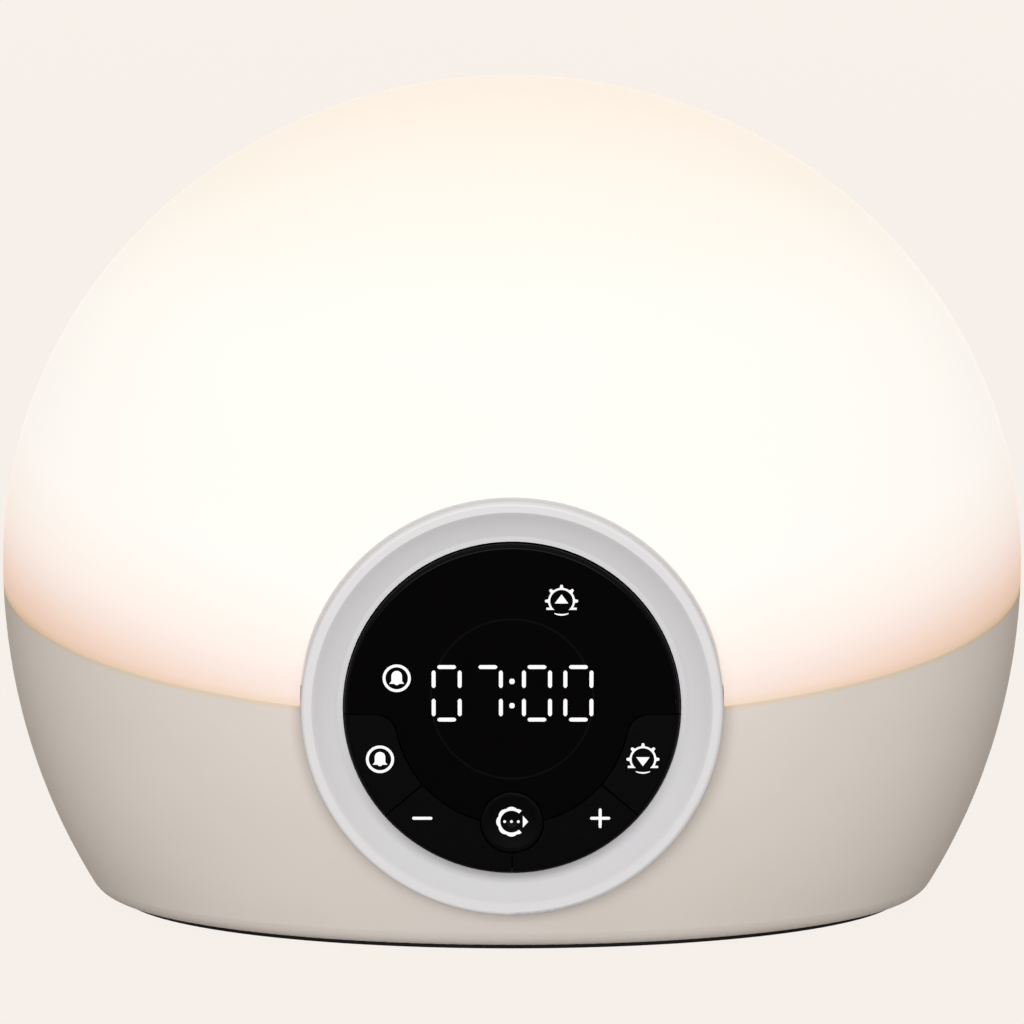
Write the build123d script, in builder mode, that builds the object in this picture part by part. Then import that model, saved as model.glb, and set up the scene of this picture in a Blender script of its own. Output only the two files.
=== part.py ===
"""Sunrise alarm clock: a lit dome on a moulded base, with a round dial on its front.

Millimetres. +Z up, -Y out of the dial, origin on the table under the middle of the lamp.
"""

import os
from math import asin, cos, degrees, radians, sin

from build123d import *

os.makedirs("parts", exist_ok=True)

# Shells: two half ellipses of revolution, flattened from front to back
body_width = 200.0
body_depth = 116.0
body_height = 163.6
widest_height = 67.2
skirt_drop = 112.6
bottom_radius = 6.0
shell_wall = 2.6
seam_height = 64.7
seam_tilt = 16.0
tongue_depth = 3.0
tongue_wall = 1.2
shell_fit = 0.2

# Feet, base plate and the pillars that it is screwed to
foot_lift = 0.5
foot_radius = 5.0
foot_recess = 0.8
foot_inset = (37.1, 19.3)
plate_reveal = 1.0
plate_thickness = 2.2
plate_margin = 0.9
plate_seat = 8.6
plate_fit = 0.3
floor_thickness = 3.9
pillar_inset = (21.1, 20.3)
pillar_radius = 4.0
web_thickness = 2.0
sound_slot = (14.0, 1.6)
sound_slot_pitch = 3.6
sound_slot_count = 5

# Dial: every depth is measured back from the front of the ring's rim
dial_height = 50.4
dial_stand = 1.2
ring_radius = 39.9
ring_rim = 2.1
ring_edge_radius = 0.8
ring_skirt = 15.3
ring_skirt_wall = 2.0
ring_floor = 2.0
collar_wall = 1.5
dish_depth = 2.0
dish_flat = 1.0
dish_slope = 12.0
ring_fit = 0.3
disc_radius = 31.7
disc_fit = 0.25
disc_front = 0.2
disc_edge_radius = 0.9
lens_thickness = 2.5

# Buttons in the lower half of the black disc
button_band_radius = 22.0
button_top = -0.7
button_gap = 0.3
button_split = 40.5
button_corner = 4.0
button_flange = 1.0
button_flange_lap = 1.0
guide_length = 4.2
button_travel = 0.8
button_edge_radius = 0.4
menu_radius = 5.8
menu_dish = 0.25
stem_radius = 1.6
guide_radius = 1.0
running_fit = 0.08
side_place = (24.9, -9.5)
sign_place = (16.8, -20.9)
menu_place = (0.0, -21.7)

# Inside the dial
housing_front = 6.0
housing_plate = 1.6
housing_wall = 1.6
board_front = 12.0
board_thickness = 1.6
board_radius = 35.2
switch_size = 6.0
switch_height = 2.6
plunger_radius = 1.7
plunger_reach = 1.2
plunger_root = 0.8
digits_centre = 3.2
digit_size = (5.65, 10.85)
digit_places = (-12.3, -4.55, 4.7, 12.5)
colon_offset = 2.26
segment_width = 0.85
segment_inset = 1.05
segment_depth = 0.3
module_size = (35.0, 15.0)
module_gap = 0.4
mask_fit = 0.4
mask_margin = 1.7
icon_well = 3.6
icon_led = (1.6, 0.8, 0.6)
icon_led_offset = 5.2
icon_led_well = 1.2
sunrise_icon = (9.3, 20.9)
bell_icon = (-21.7, 6.1)
cover_thickness = 1.6
dial_wall = 2.0
dial_wall_opening = 33.0

# Screws: thread radius, length, head radius, head height
main_board_screw = (1.0, 5.0, 1.9, 1.3)
board_screw = (0.9, 9.2, 1.6, 1.2)
small_screw = (1.0, 6.0, 1.9, 1.3)
plate_screw = (1.5, 9.0, 2.8, 1.6)
screw_fit = 0.05
clearance_fit = 0.2
ring_screw_radius = 37.8
ring_boss_radius = 2.1
housing_screw_radius = 33.6
housing_boss_radius = 1.9

# Light engine on the seam plane: depths are measured along its normal
tray_gap = 0.5
tray_thickness = 2.0
tray_drop = 1.0
tray_rim = (1.5, 5.0)
window_inset = 14.0
window_depth = 44.0
window_radius = 4.0
window_shift = 10.0
sink_margin = 6.0
sink_thickness = 2.5
fin_height = 10.0
fin_thickness = 1.6
fin_margin = 12.0
fin_count = 9
led_board_gap = 0.5
led_screw_margin = 6.0
thread_share = 0.75
led_count = (6, 3)
led_margin = (9.0, 8.5)
led_size = (2.8, 3.5, 0.8)

# Main board and what it carries
main_board_size = (92.0, 38.0)
main_board_setback = 34.0
main_board_tongue = (16.0, 6.5)
standoff_height = 6.4
standoff_radius = 2.8
standoff_spacing = (80.0, 28.0)
capacitor_size = (5.0, 16.0)
capacitor_places = ((-24.0, 6.0), (-12.0, 6.0))
inductor_size = (12.0, 12.0, 7.0)
inductor_place = (14.0, 7.0)
chip_size = (10.0, 10.0, 1.6)
chip_place = (-22.0, -11.0)
sounder_size = (6.0, 8.5)
sounder_place = (31.0, 0.0)

# DC inlet in the middle of the back: setbacks are from the body's greatest depth
jack_size = (9.0, 14.0, 11.0)
jack_setback = 18.0
jack_hole_radius = 3.2
jack_hole_depth = 9.5
jack_pin_radius = 1.05
jack_pin_length = 8.5
jack_gap = 0.3
inlet_radius = 5.25
inlet_wall = 2.0
inlet_recess_radius = 8.0
inlet_recess_setback = 9.0
inlet_recess_floor = 3.0

# Wiring
ribbon_width = 12.0
ribbon_thickness = 0.6
ribbon_height = 38.0
ribbon_bend = 6.0
lead_radius = 1.2
lead_bend = 6.0
lead_hole_radius = 2.4
lead_clearance = 11.0
socket_size = (14.0, 5.0, 4.0)
socket_low_height = 1.5
ribbon_socket_inset = 5.0
lead_socket = (6.0, 8.0, 5.0)
led_socket = (5.0, 8.0, 4.0)

# Worked out from the sizes above
shell_bottom = foot_lift + plate_reveal
dial_reach = body_depth / 2 + dial_stand
jack_face = body_depth / 2 - jack_setback
inlet_recess_face = body_depth / 2 - inlet_recess_setback
main_board_centre = jack_face - main_board_setback
ribbon_socket_place = main_board_centre - main_board_size[1] / 2 + ribbon_socket_inset
plate_top = foot_lift + plate_thickness
tilt = radians(seam_tilt)
seam = Plane((0, 0, seam_height), x_dir=(1, 0, 0), z_dir=(0, -sin(tilt), cos(tilt)))
dial_axis = Axis((0, -dial_reach, dial_height), (0, 1, 0))
lens_back = disc_front + lens_thickness
cover_front = ring_skirt
wall_front = cover_front + cover_thickness
tray_bottom = -(tray_drop + tray_thickness)
board_top = plate_top + standoff_height + board_thickness
jack_height = board_top + jack_size[2] / 2
button_places = {
    "alarm": (-side_place[0], side_place[1]),
    "minus": (-sign_place[0], sign_place[1]),
    "menu": menu_place,
    "plus": sign_place,
    "sunset": side_place,
}
guide_places = {
    "alarm": ((188, 28.0), (214, 27.0)),
    "minus": ((247, 28.0),),
    "menu": (),
    "plus": ((293, 28.0),),
    "sunset": ((326, 27.0), (352, 28.0)),
}


def dial(depth):
    """The plane across the dial at a depth behind the rim, seen from the front."""
    return Plane((0, depth - dial_reach, dial_height), x_dir=(1, 0, 0), z_dir=(0, -1, 0))


def polar(angle, radius):
    """A point of the dial at an angle from its right-hand side."""
    return (radius * cos(radians(angle)), radius * sin(radians(angle)))


def corners(spacing, middle=(0, 0)):
    """Four places at the corners of a rectangle."""
    half_x, half_y = spacing[0] / 2, spacing[1] / 2
    return [(middle[0] + x * half_x, middle[1] + y * half_y) for x in (-1, 1) for y in (-1, 1)]


def body_form(inset=0.0):
    """The solid outer form of the lamp, drawn in by inset on every side."""
    half_width = body_width / 2 - inset
    half_depth = body_depth / 2 - inset
    rise = body_height - widest_height - inset
    drop = skirt_drop - inset
    bottom = shell_bottom + inset
    start = degrees(asin((bottom - widest_height) / drop))
    with BuildPart() as form:
        with BuildSketch(Plane.XZ) as half_section:
            with BuildLine():
                skirt = EllipticalCenterArc((0, widest_height), half_width, drop, start, arc_size=-start)
                crown = EllipticalCenterArc((0, widest_height), half_width, rise, 0, arc_size=90)
                Polyline(crown @ 1, (0, bottom), skirt @ 0)
            make_face()
            corner = half_section.vertices().group_by(Axis.Y)[0].sort_by(Axis.X)[-1]
            fillet(corner, max(bottom_radius - inset, 1.0))
        revolve(axis=Axis.Z)
    return scale(form.part, by=(1, half_depth / half_width, 1))


def seam_slab(form, low, high):
    """The layer of a form between two offsets from the seam plane."""
    with BuildPart() as slab:
        add(form)
        split(bisect_by=seam.offset(low), keep=Keep.TOP)
        split(bisect_by=seam.offset(high), keep=Keep.BOTTOM)
    return slab.part


def screws(plane, places, size):
    """Cross-head screws driven down the plane's normal, with their heads seated on it."""
    thread_radius, length, head_radius, head_height = size
    slot = (1.3 * head_radius, 0.3 * head_radius)
    with BuildPart() as group:
        with BuildSketch(plane):
            with Locations(*places):
                Circle(thread_radius)
        extrude(amount=-length)
        with BuildSketch(plane):
            with Locations(*places):
                Circle(head_radius)
        extrude(amount=head_height)
        with BuildSketch(plane.offset(head_height)):
            with Locations(*places):
                Rectangle(slot[0], slot[1])
                Rectangle(slot[1], slot[0])
        extrude(amount=-head_height / 2, mode=Mode.SUBTRACT)
    return group.part


def save(shape, name):
    """Label a finished piece and write it."""
    shape.label = name
    export_step(shape, f"parts/{name}.step")


outer_form = body_form()
inner_form = body_form(shell_wall)
underside = outer_form.faces().sort_by(Axis.Z)[0].bounding_box().size
plate_radii = (underside.X / 2 - plate_margin, underside.Y / 2 - plate_margin)
pillar_spacing = [2 * (radius - inset) for radius, inset in zip(plate_radii, pillar_inset)]
foot_spacing = [2 * (radius - inset) for radius, inset in zip(plate_radii, foot_inset)]
# The tray's screws enter the tops of the upright pillars square to the seam
tray_screw_places = [(x, (y + tray_bottom * sin(tilt)) / cos(tilt)) for x, y in corners(pillar_spacing)]
upper_screw_places = [polar(angle, ring_screw_radius) for angle in (45, 135)]
lower_screw_places = [polar(angle, ring_screw_radius) for angle in (225, 315)]
housing_screw_places = [polar(angle, housing_screw_radius) for angle in (90, 210, 330)]

# ---------------------------------------------------------------- shells

tongue = seam_slab(body_form(shell_wall - tongue_wall), -tongue_depth, 0)
rebate = seam_slab(body_form(shell_wall - tongue_wall - shell_fit), -tongue_depth - shell_fit, 0)

with BuildPart() as diffuser_dome:
    add(outer_form)
    split(bisect_by=seam, keep=Keep.TOP)
    add(tongue)
    add(inner_form, mode=Mode.SUBTRACT)
    with BuildSketch(dial(wall_front)):
        Circle(ring_radius + ring_fit)
    extrude(amount=body_depth, mode=Mode.SUBTRACT)
save(diffuser_dome.part, "diffuser_dome")

# What is moulded inside the base: each feature is cut out of a form that ends within the wall
within_wall = body_form(shell_wall / 2)
tray_underside = seam.offset(tray_bottom)

with BuildPart() as floor_ledge:
    add(within_wall)
    with BuildSketch(Plane.XY.offset(shell_bottom)):
        Rectangle(body_width, body_depth)
    extrude(amount=floor_thickness, mode=Mode.INTERSECT)

with BuildPart() as pillars:
    add(within_wall)
    with BuildSketch(Plane.XY):
        with GridLocations(*pillar_spacing, 2, 2):
            Circle(pillar_radius)
        with GridLocations(pillar_spacing[0] + body_width / 2, pillar_spacing[1], 2, 2):
            Rectangle(body_width / 2, web_thickness)
    extrude(amount=body_height, mode=Mode.INTERSECT)
    split(bisect_by=tray_underside, keep=Keep.BOTTOM)

with BuildPart() as bulkhead:
    add(within_wall)
    with BuildSketch(dial(wall_front + dial_wall)):
        Rectangle(body_width, 2 * body_height)
        Circle(dial_wall_opening, mode=Mode.SUBTRACT)
    extrude(amount=dial_wall, mode=Mode.INTERSECT)
    split(bisect_by=tray_underside, keep=Keep.BOTTOM)

with BuildPart() as inlet_boss:
    add(within_wall)
    with BuildSketch(Plane.XY.offset(jack_height)):
        with BuildLine():
            Polyline(
                (0, jack_face + jack_gap),
                (inlet_radius + inlet_wall, jack_face + jack_gap),
                (inlet_radius + inlet_wall, inlet_recess_face - inlet_recess_floor),
                (inlet_recess_radius + inlet_wall, inlet_recess_face - inlet_recess_floor),
                (inlet_recess_radius + inlet_wall, body_depth),
                (0, body_depth),
                close=True,
            )
        make_face()
    revolve(axis=Axis((0, 0, jack_height), (0, 1, 0)), mode=Mode.INTERSECT)

with BuildPart() as base_shell:
    add(outer_form)
    split(bisect_by=seam, keep=Keep.BOTTOM)
    add(inner_form, mode=Mode.SUBTRACT)
    for feature in (floor_ledge, pillars, bulkhead, inlet_boss):
        add(feature.part)
    add(rebate, mode=Mode.SUBTRACT)
    with BuildSketch(dial(wall_front)):
        Circle(ring_radius + ring_fit)
    extrude(amount=body_depth, mode=Mode.SUBTRACT)
    # Rebate and opening for the base plate, and the pilot holes of its screws
    with BuildSketch(Plane.XY.offset(plate_top)):
        Ellipse(plate_radii[0] + plate_fit, plate_radii[1] + plate_fit)
    extrude(amount=-plate_top, mode=Mode.SUBTRACT)
    with BuildSketch(Plane.XY.offset(shell_bottom + floor_thickness)):
        Ellipse(plate_radii[0] - plate_seat, plate_radii[1] - plate_seat)
    extrude(amount=-floor_thickness, mode=Mode.SUBTRACT)
    with BuildSketch(Plane.XY.offset(plate_top)):
        with GridLocations(*pillar_spacing, 2, 2):
            Circle(plate_screw[0] + screw_fit)
    extrude(amount=plate_screw[1], mode=Mode.SUBTRACT)
    with BuildSketch(tray_underside):
        with Locations(*tray_screw_places):
            Circle(small_screw[0] + screw_fit)
    extrude(amount=-small_screw[1], mode=Mode.SUBTRACT)
    # Inlet: a straight bore for the plug, in a flat-bottomed recess
    with BuildSketch(Plane.XZ.offset(-inlet_recess_face)):
        with Locations((0, jack_height)):
            Circle(inlet_recess_radius)
    extrude(amount=-body_depth, mode=Mode.SUBTRACT)
    with BuildSketch(Plane.XZ.offset(-jack_face)):
        with Locations((0, jack_height)):
            Circle(inlet_radius)
    extrude(amount=-body_depth, mode=Mode.SUBTRACT)
    # Holes for the two long dial screws
    with BuildSketch(dial(wall_front + dial_wall)):
        with Locations(*lower_screw_places):
            Circle(small_screw[0] + clearance_fit)
    extrude(amount=dial_wall, mode=Mode.SUBTRACT)
save(base_shell.part, "base_shell")

# ---------------------------------------------------------------- underside

foot_places = GridLocations(*foot_spacing, 2, 2)

with BuildPart() as base_plate:
    with BuildSketch(Plane.XY.offset(foot_lift)):
        Ellipse(*plate_radii)
    extrude(amount=plate_thickness)
    with BuildSketch(Plane.XY.offset(plate_top)):
        with Locations((0, main_board_centre)):
            with GridLocations(*standoff_spacing, 2, 2):
                Circle(standoff_radius)
    extrude(amount=standoff_height)
    with BuildSketch(Plane.XY.offset(foot_lift)):
        with foot_places:
            Circle(foot_radius + plate_fit)
    extrude(amount=foot_recess, mode=Mode.SUBTRACT)
    with BuildSketch(Plane.XY.offset(foot_lift)):
        with GridLocations(*pillar_spacing, 2, 2):
            Circle(plate_screw[2] + screw_fit)
    extrude(amount=plate_screw[3], mode=Mode.SUBTRACT)
    with BuildSketch(Plane.XY.offset(foot_lift)):
        with GridLocations(*pillar_spacing, 2, 2):
            Circle(plate_screw[0] + clearance_fit)
        with Locations((sounder_place[0], main_board_centre + sounder_place[1])):
            with GridLocations(0, sound_slot_pitch, 1, sound_slot_count):
                SlotOverall(*sound_slot)
    extrude(amount=plate_thickness, mode=Mode.SUBTRACT)
    with BuildSketch(Plane.XY.offset(plate_top + standoff_height)):
        with Locations((0, main_board_centre)):
            with GridLocations(*standoff_spacing, 2, 2):
                Circle(small_screw[0] + screw_fit)
    extrude(amount=-small_screw[1], mode=Mode.SUBTRACT)
save(base_plate.part, "base_plate")

with BuildPart() as rubber_feet:
    with BuildSketch():
        with foot_places:
            Circle(foot_radius)
    extrude(amount=foot_lift + foot_recess)
    fillet(rubber_feet.faces().group_by(Axis.Z)[0].edges(), foot_lift / 2)
save(rubber_feet.part, "rubber_feet")

plate_screw_plane = Plane((0, 0, foot_lift + plate_screw[3]), x_dir=(1, 0, 0), z_dir=(0, 0, -1))
save(screws(plate_screw_plane, corners(pillar_spacing), plate_screw), "base_screws")

# ---------------------------------------------------------------- dial ring, lens and buttons

bore_radius = disc_radius + disc_fit
collar_radius = bore_radius + collar_wall
rim_inner = ring_radius - ring_rim

with BuildPart() as dial_ring:
    with BuildSketch(Plane((0, -dial_reach, dial_height), x_dir=(1, 0, 0), z_dir=(0, 0, 1))) as ring_section:
        with BuildLine():
            floor_end = (bore_radius + dish_flat, dish_depth)
            cove = TangentArc(floor_end, (rim_inner, 0), tangent=polar(-dish_slope, 1))
            Polyline(
                cove @ 1,
                (ring_radius, 0),
                (ring_radius, ring_skirt),
                (ring_radius - ring_skirt_wall, ring_skirt),
                (ring_radius - ring_skirt_wall, dish_depth + ring_floor),
                (collar_radius, dish_depth + ring_floor),
                (collar_radius, housing_front),
                (bore_radius, housing_front),
                (bore_radius, dish_depth),
                cove @ 0,
            )
        make_face()
        rim_corner = ring_section.vertices().sort_by_distance((ring_radius, 0))[0]
        fillet(rim_corner, ring_edge_radius)
    revolve(axis=dial_axis)
    with BuildSketch(dial(ring_skirt)):
        with Locations(*upper_screw_places, *lower_screw_places):
            Circle(ring_boss_radius)
    extrude(amount=ring_skirt - dish_depth - ring_floor)
    with BuildSketch(dial(housing_front)):
        with Locations(*housing_screw_places):
            Circle(housing_boss_radius)
    extrude(amount=housing_front - dish_depth - ring_floor)
    with BuildSketch(dial(housing_front)):
        Circle(bore_radius)
    extrude(amount=housing_front - dish_depth, mode=Mode.SUBTRACT)
    with BuildSketch(dial(ring_skirt)):
        with Locations(*upper_screw_places, *lower_screw_places):
            Circle(small_screw[0] + screw_fit)
    extrude(amount=small_screw[1], mode=Mode.SUBTRACT)
    with BuildSketch(dial(housing_front)):
        with Locations(*housing_screw_places):
            Circle(board_screw[0] + screw_fit)
    extrude(amount=housing_front - dish_depth - ring_floor / 2, mode=Mode.SUBTRACT)
save(dial_ring.part, "dial_ring")


def cut_above(level):
    """Take away what the sketch being drawn has above a level of the dial."""
    with Locations((0, level)):
        Rectangle(4 * disc_radius, 2 * disc_radius, align=(Align.CENTER, Align.MIN), mode=Mode.SUBTRACT)


def band(grow=0.0):
    """The four buttons of the lower band, side by side, drawn out under the lens by grow."""
    with BuildSketch() as outline:
        Circle(disc_radius)
        Circle(button_band_radius + button_gap - grow, mode=Mode.SUBTRACT)
        cut_above(button_top - button_gap + grow)
        for angle in (-button_split, -90, button_split - 180):
            with Locations(Location((0, 0), angle)):
                Rectangle(2 * disc_radius, button_gap, align=(Align.MIN, Align.CENTER), mode=Mode.SUBTRACT)
        with Locations(menu_place):
            Circle(menu_radius + button_gap + grow, mode=Mode.SUBTRACT)
        fillet(outline.vertices().group_by(Axis.Y)[-1].sort_by(Axis.X)[1:3], button_corner)
    return outline.sketch


def rim_edge(face):
    """The edge of a front face that runs along the rim of the black disc."""
    arcs = face.edges().filter_by(GeomType.CIRCLE)
    return min(arcs, key=lambda edge: abs(edge.radius - disc_radius))


with BuildPart() as display_lens:
    with BuildSketch(dial(lens_back)):
        Circle(disc_radius)
        with BuildSketch(mode=Mode.PRIVATE) as cut_out:
            Circle(ring_radius)
            Circle(button_band_radius, mode=Mode.SUBTRACT)
            cut_above(button_top)
            top_corners = cut_out.vertices().group_by(Axis.Y)[-1].sort_by(Axis.X)[1:3]
            fillet(top_corners, button_corner + button_gap)
        add(cut_out.sketch, mode=Mode.SUBTRACT)
        with Locations(menu_place):
            Circle(menu_radius + button_gap, mode=Mode.SUBTRACT)
    extrude(amount=lens_thickness)
    fillet(rim_edge(display_lens.faces().sort_by(Axis.Y)[0]), disc_edge_radius)
save(display_lens.part, "display_lens")


flange_front = lens_back + button_gap
button_back = flange_front + button_flange
stem_end = board_front - switch_height - plunger_reach
# The finger dish of the round button is a shallow cap of this sphere
dish_reach = menu_radius - 2 * button_edge_radius
dish_sphere = (dish_reach**2 + menu_dish**2) / (2 * menu_dish)
with BuildSketch() as menu_cap:
    with Locations(menu_place):
        Circle(menu_radius)
with BuildSketch() as menu_flange:
    with Locations(menu_place):
        Circle(menu_radius + button_flange_lap)
    Circle(button_band_radius, mode=Mode.INTERSECT)
    add(menu_cap.sketch)
names = ("alarm", "minus", "plus", "sunset")
caps = dict(zip(names, band().faces().sort_by(Axis.X)))
flanges = dict(zip(names, band(button_flange_lap).faces().sort_by(Axis.X)))
caps["menu"] = menu_cap.face()
flanges["menu"] = menu_flange.face()

for name, place in button_places.items():
    with BuildPart() as button:
        with BuildSketch(dial(flange_front)):
            add(caps[name])
        extrude(amount=flange_front - disc_front)
        front = button.faces().sort_by(Axis.Y)[0]
        if name == "menu":
            fillet(front.edges(), button_edge_radius)
            with Locations(dial(disc_front + menu_dish - dish_sphere) * Pos(*place)):
                Sphere(dish_sphere, mode=Mode.SUBTRACT)
        else:
            fillet(rim_edge(front), disc_edge_radius)
        with BuildSketch(dial(button_back)):
            add(flanges[name])
        extrude(amount=button_flange)
        with BuildSketch(dial(button_back)):
            with Locations(place):
                Circle(stem_radius)
        extrude(amount=button_back - stem_end)
        if guide_places[name]:
            with BuildSketch(dial(button_back)):
                with Locations(*[polar(*guide) for guide in guide_places[name]]):
                    Circle(guide_radius)
            extrude(amount=-guide_length)
    save(button.part, f"{name}_button")
    with BuildPart() as plunger:
        with BuildSketch(dial(stem_end)):
            with Locations(place):
                Circle(plunger_radius)
        extrude(amount=-(plunger_reach + plunger_root))
    save(plunger.part, f"{name}_plunger")

# ---------------------------------------------------------------- inside the dial

switch_places = list(button_places.values())
guide_holes = [polar(*guide) for guides in guide_places.values() for guide in guides]
icon_places = [sunrise_icon, bell_icon]
icon_led_places = [
    (x - icon_led_offset * x / (x**2 + y**2) ** 0.5, y - icon_led_offset * y / (x**2 + y**2) ** 0.5)
    for x, y in switch_places
]


def display_window(margin):
    """The opening for the digit module, with a margin round it, on the sketch being drawn."""
    with Locations((0, digits_centre)):
        Rectangle(module_size[0] + 2 * margin, module_size[1] + 2 * margin, mode=Mode.SUBTRACT)


with BuildPart() as light_mask:
    with BuildSketch(dial(housing_front)):
        Circle(disc_radius - mask_margin)
        with Locations((0, button_top - button_gap + button_flange_lap + mask_fit)):
            Rectangle(4 * disc_radius, 2 * disc_radius, align=(Align.CENTER, Align.MAX), mode=Mode.SUBTRACT)
        Circle(button_band_radius + button_gap - button_flange_lap - mask_fit)
        with Locations(menu_place):
            Circle(menu_radius + button_flange_lap + mask_fit, mode=Mode.SUBTRACT)
        display_window(mask_fit)
        with Locations(*icon_places):
            Circle(icon_well, mode=Mode.SUBTRACT)
    extrude(amount=housing_front - lens_back)
save(light_mask.part, "light_mask")

with BuildPart() as dial_housing:
    with BuildSketch(dial(housing_front + housing_plate)):
        Circle(board_radius)
        display_window(mask_fit)
        with Locations(*icon_places):
            Circle(icon_well, mode=Mode.SUBTRACT)
        with Locations(*icon_led_places):
            Circle(icon_led_well, mode=Mode.SUBTRACT)
        with Locations(*switch_places):
            Circle(stem_radius + running_fit, mode=Mode.SUBTRACT)
        with Locations(*guide_holes):
            Circle(guide_radius + running_fit, mode=Mode.SUBTRACT)
    extrude(amount=housing_plate)
    with BuildSketch(dial(board_front)):
        Circle(board_radius)
        Circle(board_radius - housing_wall, mode=Mode.SUBTRACT)
        with Locations(*housing_screw_places):
            Circle(housing_boss_radius)
    extrude(amount=board_front - housing_front - housing_plate)
    with BuildSketch(dial(board_front)):
        with Locations(*housing_screw_places):
            Circle(board_screw[0] + clearance_fit)
    extrude(amount=board_front - housing_front, mode=Mode.SUBTRACT)
save(dial_housing.part, "dial_housing")

module_front = lens_back + module_gap

with BuildPart() as digit_segments:
    with BuildSketch(dial(module_front + segment_depth)):
        for digit in digit_places:
            with Locations((digit, digits_centre)):
                with GridLocations(0, (digit_size[1] - segment_width) / 2, 1, 3):
                    Rectangle(digit_size[0] - 2 * segment_inset, segment_width)
                with GridLocations(digit_size[0] - segment_width, digit_size[1] / 2, 2, 2):
                    Rectangle(segment_width, digit_size[1] / 2 - 2 * segment_inset)
        with Locations((0, digits_centre)):
            with GridLocations(0, 2 * colon_offset, 1, 2):
                Rectangle(segment_width, segment_width)
    extrude(amount=segment_depth)
save(digit_segments.part, "digit_segments")

with BuildPart() as digit_module:
    with BuildSketch(dial(board_front)):
        with Locations((0, digits_centre)):
            Rectangle(*module_size)
    extrude(amount=board_front - module_front)
    add(digit_segments.part, mode=Mode.SUBTRACT)
save(digit_module.part, "digit_module")

with BuildPart() as display_board:
    with BuildSketch(dial(board_front + board_thickness)):
        Circle(board_radius)
        with Locations(*housing_screw_places):
            Circle(board_screw[0] + clearance_fit, mode=Mode.SUBTRACT)
    extrude(amount=board_thickness)
save(display_board.part, "display_board")

with BuildPart() as icon_leds:
    with BuildSketch(dial(board_front)):
        with Locations(*icon_places, *icon_led_places):
            Rectangle(*icon_led[:2])
    extrude(amount=icon_led[2])
save(icon_leds.part, "icon_leds")

with BuildPart() as button_switches:
    with BuildSketch(dial(board_front)):
        with Locations(*switch_places):
            Rectangle(switch_size, switch_size)
    extrude(amount=switch_height)
    with BuildSketch(dial(board_front - switch_height)):
        with Locations(*switch_places):
            Circle(plunger_radius + running_fit)
    extrude(amount=-(plunger_root + button_travel + screw_fit), mode=Mode.SUBTRACT)
save(button_switches.part, "button_switches")


def dial_back(depth):
    """The plane across the dial at a depth behind the rim, seen from the back."""
    return Plane((0, depth - dial_reach, dial_height), x_dir=(-1, 0, 0), z_dir=(0, 1, 0))


save(screws(dial_back(board_front + board_thickness), housing_screw_places, board_screw), "board_screws")

ribbon_drop = ribbon_height - dial_height
with BuildPart() as dial_cover:
    with BuildSketch(dial(cover_front + cover_thickness)):
        Circle(ring_radius)
        with Locations(*upper_screw_places, *lower_screw_places):
            Circle(small_screw[0] + clearance_fit, mode=Mode.SUBTRACT)
        with Locations((0, ribbon_drop)):
            SlotOverall(socket_size[0] + 2 * clearance_fit, socket_size[1], mode=Mode.SUBTRACT)
    extrude(amount=cover_thickness)
save(dial_cover.part, "dial_cover")

long_screw = (small_screw[0], small_screw[1] + dial_wall, *small_screw[2:])
with BuildPart() as dial_screws:
    add(screws(dial_back(wall_front), upper_screw_places, small_screw))
    add(screws(dial_back(wall_front + dial_wall), lower_screw_places, long_screw))
save(dial_screws.part, "dial_screws")

# ---------------------------------------------------------------- light engine on the seam plane

window_size = (pillar_spacing[0] - 2 * window_inset, window_depth)
sink_size = (window_size[0] + 2 * sink_margin, window_size[1] + 2 * sink_margin)
led_board_size = (window_size[0] - 2 * led_board_gap, window_size[1] - 2 * led_board_gap)
sink_screw_spacing = (sink_size[0] - sink_margin, sink_size[1] - sink_margin)
sink_screw = (small_screw[0], sink_thickness + thread_share * tray_thickness, *small_screw[2:])
led_pitch = [
    (size - 2 * margin) / (count - 1) for size, margin, count in zip(led_board_size, led_margin, led_count)
]
led_screw_spacing = (led_board_size[0] - led_screw_margin, led_board_size[1] - led_screw_margin)
fin_pitch = (sink_size[0] - 2 * fin_margin) / (fin_count - 1)
lead_drop_place = -max(led_board_size[0], main_board_size[0]) / 2 - lead_clearance
led_screw = (small_screw[0], board_thickness + thread_share * sink_thickness, *small_screw[2:])
led_board_top = tray_bottom + board_thickness
sink_bottom = tray_bottom - sink_thickness
tray_form = body_form(shell_wall + tray_gap)
tray_inner = body_form(shell_wall + tray_gap + tray_rim[0])

with BuildPart() as reflector_tray:
    add(seam_slab(tray_form, tray_bottom, -tray_drop + tray_rim[1]))
    add(seam_slab(tray_inner, -tray_drop, tray_rim[1]), mode=Mode.SUBTRACT)
    with BuildSketch(Plane.XY):
        with Locations((0, wall_front + tray_gap - dial_reach)):
            Rectangle(2 * (ring_radius + tray_gap), body_depth, align=(Align.CENTER, Align.MAX))
    extrude(amount=body_height, mode=Mode.SUBTRACT)
    with BuildSketch(seam):
        with Locations((0, window_shift)):
            RectangleRounded(*window_size, window_radius)
            with GridLocations(*sink_screw_spacing, 2, 2):
                Circle(small_screw[0] + screw_fit)
        with Locations(*tray_screw_places):
            Circle(small_screw[0] + clearance_fit)
        with Locations((lead_drop_place + lead_bend / 2, window_shift)):
            SlotOverall(lead_bend + 2 * lead_hole_radius, 2 * lead_hole_radius)
    extrude(amount=tray_bottom, mode=Mode.SUBTRACT)
save(reflector_tray.part, "reflector_tray")
save(screws(seam.offset(-tray_drop), tray_screw_places, small_screw), "tray_screws")

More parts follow.
